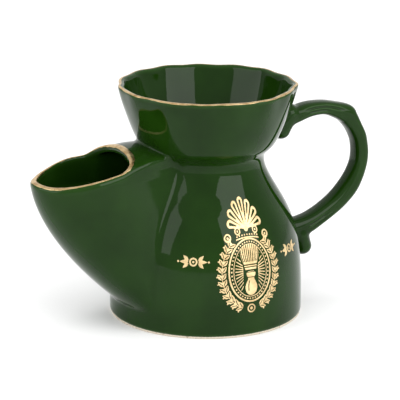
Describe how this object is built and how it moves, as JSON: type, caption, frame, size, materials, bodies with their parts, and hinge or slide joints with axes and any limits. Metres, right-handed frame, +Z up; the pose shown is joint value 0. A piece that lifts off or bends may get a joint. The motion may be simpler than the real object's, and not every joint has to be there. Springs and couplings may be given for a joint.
{
  "type": "shaving mug",
  "caption": "Scuttle-shaped shaving mug: a bell-shaped hot-water reservoir with a brush spout, a soap bowl with drain holes on its neck, and a strap handle.",
  "frame": {"origin": "on the body's axis at the table plane, under the middle of the whole mug", "axes": "+X towards the handle, -X towards the spout, -Y the decorated front, +Z up"},
  "size_m": [0.1727, 0.0912, 0.1097],
  "materials": {
    "green_glaze": "dark green high-gloss glaze over stoneware",
    "gilding": "fired gold lustre, softly polished",
    "bare_clay": "unglazed buff stoneware, matt"
  },
  "bodies": {
    "root": {"foot_ring": "bare_clay", "reservoir_body": "green_glaze", "spout_horn": "green_glaze", "spout_joint": "green_glaze", "soap_bowl": "green_glaze", "neck_joint": "green_glaze", "handle": "green_glaze", "handle_top_joint": "green_glaze", "handle_base_joint": "green_glaze", "bowl_gilding": "gilding", "spout_gilding": "gilding", "oval_border": "gilding", "laurel_left": "gilding", "laurel_right": "gilding", "brush_handle": "gilding", "brush_collar": "gilding", "brush_bristles": "gilding", "palmette": "gilding", "side_motif_left": "gilding", "side_motif_right": "gilding", "lower_roundel": "gilding"}
  },
  "joints": []
}
